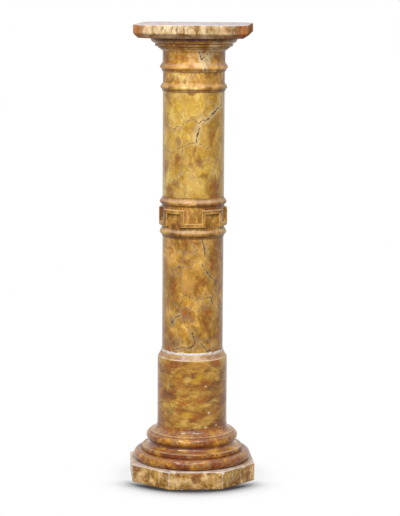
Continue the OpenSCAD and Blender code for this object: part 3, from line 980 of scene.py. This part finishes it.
plinth = {
    "half": 148.3, "clip": 84, "turn": 4, "ease": 1.2, "chamfer": 0, "gap": 2.8,
    "bite": 0.12, "wearWidth": 5, "wearDepth": 2.0,
    "radius": 150, "shift": (400, -60, 80), "patch": 28, "squeeze": 1.0, "swirl": 30, "cells": 20,
    "lumps": 0.2,
    "ground": shades((134, 84, 34), (160, 112, 50), (184, 142, 78), (200, 164, 104), (214, 190, 144)),
    "cast": (1.32, 1.33, 1.2), "mottle": 0.4, "rustShare": 0.4, "paleShare": 0.7, "crackle": 0.6,
    "polish": 0.2, "rust": tint(150, 84, 36), "crack": tint(104, 78, 50),
    "rustSpots": [(-61, 24, 9, 24), (61, 22, 8, 24), (6, 38, 16, 5), (40, 8, 14, 5), (-44, 6, 14, 4)],
    "paleSpots": [(-29, 20, 5, 18), (51, 22, 4, 24), (-4, 22, 9, 7), (12, 26, 10, 4), (-50, 26, 8, 10)],
    "yellowSpots": [(-35, 26, 6, 16), (33, 30, 10, 8), (46, 34, 4, 8)],
    "darkSpots": [(51, 32, 2, 5), (50, 14, 2, 4), (-43, 22, 4, 16), (30, 12, 5, 6)],
    "arrisLine": 1.8, "arrisShare": 0.75, "dust": tint(192, 178, 174), "dustShare": 0.85,
    # a darker band along the bottom edge: grime and painted shade
    "grime": [(1, 1.6, 0.3)],
    "chips": [((-17, 41, 150), 8, 3.5), ((-16, 30, 152), 3.5, 1.4), ((-9, 1.5, 148), 5, 2.2),
              ((28, 40, 160), 5, 2), ((152, 40, 160), 10, 4), ((-105, 38, 155), 7, 3)],
}


def buildPlinth(stone):
    piece = wornBlock("plinthStone", "plinth", stone)
    foot = footAndHead("plinth")[0]
    for corner in piece.data.vertices:
        corner.co.z = max(corner.co.z, foot * mm)
    finishMarble(piece, "plinth", "plinthMarble", stone, 35)


topSlab = {
    "half": 134.3, "clip": 30, "turn": -5, "ease": 0.9, "chamfer": 11, "gap": 2.8,
    "bite": -0.3, "wearWidth": 3, "wearDepth": 0.9,
    "radius": 135, "shift": (-350, -200, 60), "patch": 26, "squeeze": 0.55, "swirl": 34, "cells": 16,
    "ground": shades((156, 110, 60), (180, 142, 88), (202, 170, 116), (214, 188, 138), (224, 206, 162)),
    "cast": (0.86, 0.94, 1.1), "mottle": 0.3, "rustShare": 0.15, "rust": tint(192, 94, 28),
    "paleShare": 0.7, "crackle": 0.9, "polish": 0, "shine": 0, "crack": tint(96, 58, 38),
    "rustSpots": [(-53, 1088, 30, 24), (44, 1088, 24, 24), (86, 1088, 90, 24)],
    "darkSpots": [(33, 1088, 9, 16), (-16, 1090, 2, 12), (-11, 1090, 2, 10), (4, 1090, 2, 10),
                  (-22, 1090, 2, 8), (13, 1090, 1.6, 12), (22, 1090, 1.6, 9), (-30, 1090, 1.6, 9)],
    "arrisLine": 1.2, "arrisShare": 0.25, "dust": tint(204, 200, 208), "dustShare": 0.9,
    # the darker band over the chamfer paints shade on its underside, with some grime
    "grime": [(1072, 8, 0.35)], "dirt": tint(146, 96, 78),
    "chips": [((100, 1099, 134), 5, 2), ((200, 1098, 135), 6, 2.4)],
}


def buildTopSlab(stone):
    piece = wornBlock("topSlab", "top_slab", stone)
    finishMarble(piece, "top_slab", "slabMarble", stone, 35)


fillerBead = {
    "foot": 311.1, "tall": 5.4, "wall": 73.3, "out": 2.1, "steps": 360, "skirt": 0.5,
    "coarse": (7.56, 3.1), "fine": (27, 7.7), "bulge": 0.9, "ragged": 2.2,
    "tones": [(0.3, tint(150, 122, 92)), (0.45, tint(196, 184, 172)), (0.7, tint(214, 208, 206))],
}


def beadPlaster(bead):
    plaster = bpy.data.materials.new("fillerPlaster")
    plaster.use_nodes = True
    sheet = NodeSheet(plaster.node_tree)
    place = sheet.scaled(sheet.add("ShaderNodeTexCoord", output="Object"), 1 / mm)
    blotch = sheet.cloud(place, 9, 5, 0.65)
    grain = sheet.cloud(place, 1.1, 3, 0.6)
    colour = sheet.ramp(blotch, bead["tones"])
    bump = sheet.add("ShaderNodeBump", None, {"Strength": 0.5, "Distance": 0.0008, "Height": grain + blotch})
    body = sheet.add("ShaderNodeBsdfPrincipled", None, {
        "Base Color": colour, "Roughness": 0.6 + grain * 0.4, "Normal": bump})
    sheet.add("ShaderNodeOutputMaterial", None, {0: body})
    return plaster


def buildFillerBead(bead):
    wall, foot, tall, out = bead["wall"], bead["foot"], bead["tall"], bead["out"]
    skirtTop = foot + bead["skirt"]
    outline = [(wall, foot), (wall + out, foot), (wall + out, skirtTop)]
    outline += arcPoints(wall, skirtTop, out, tall - bead["skirt"], 15, 90, 7) + [(wall, foot)]
    piece = spunStone("fillerBead", [Vector(p) for p in outline], bead["steps"])
    for corner in piece.data.vertices:
        side = corner.co.xy.normalized()
        coarse, fine = (noise.noise((side.x * often, side.y * often, layer))
                        for often, layer in (bead["coarse"], bead["fine"]))
        lump = coarse + 0.5 * fine
        rise = (corner.co.z / mm - foot) / tall
        radius = corner.co.xy.length / mm
        if radius > wall + 0.05:
            corner.co.xy *= (radius + lump * bead["bulge"]) / radius
        corner.co.z += rise * lump * bead["ragged"] * mm
    finishStone(piece, "joint_filler", beadPlaster(bead), 60)


bpy.context.scene.view_settings.view_transform = "Standard"
addCamera()
lightRoom()
layFloor()
print("room ready")
buildPlinth(plinth)
buildBase(turnedBase)
buildSocleDrum(socleDrum)
buildFillerBead(fillerBead)
buildLowerShaft(lowerShaft)
buildKeyCollar(keyCollar)
buildUpperShaft(upperShaft)
buildNeckDrum(neckDrum)
buildCapital(capital)
buildTopSlab(topSlab)
print("column built")
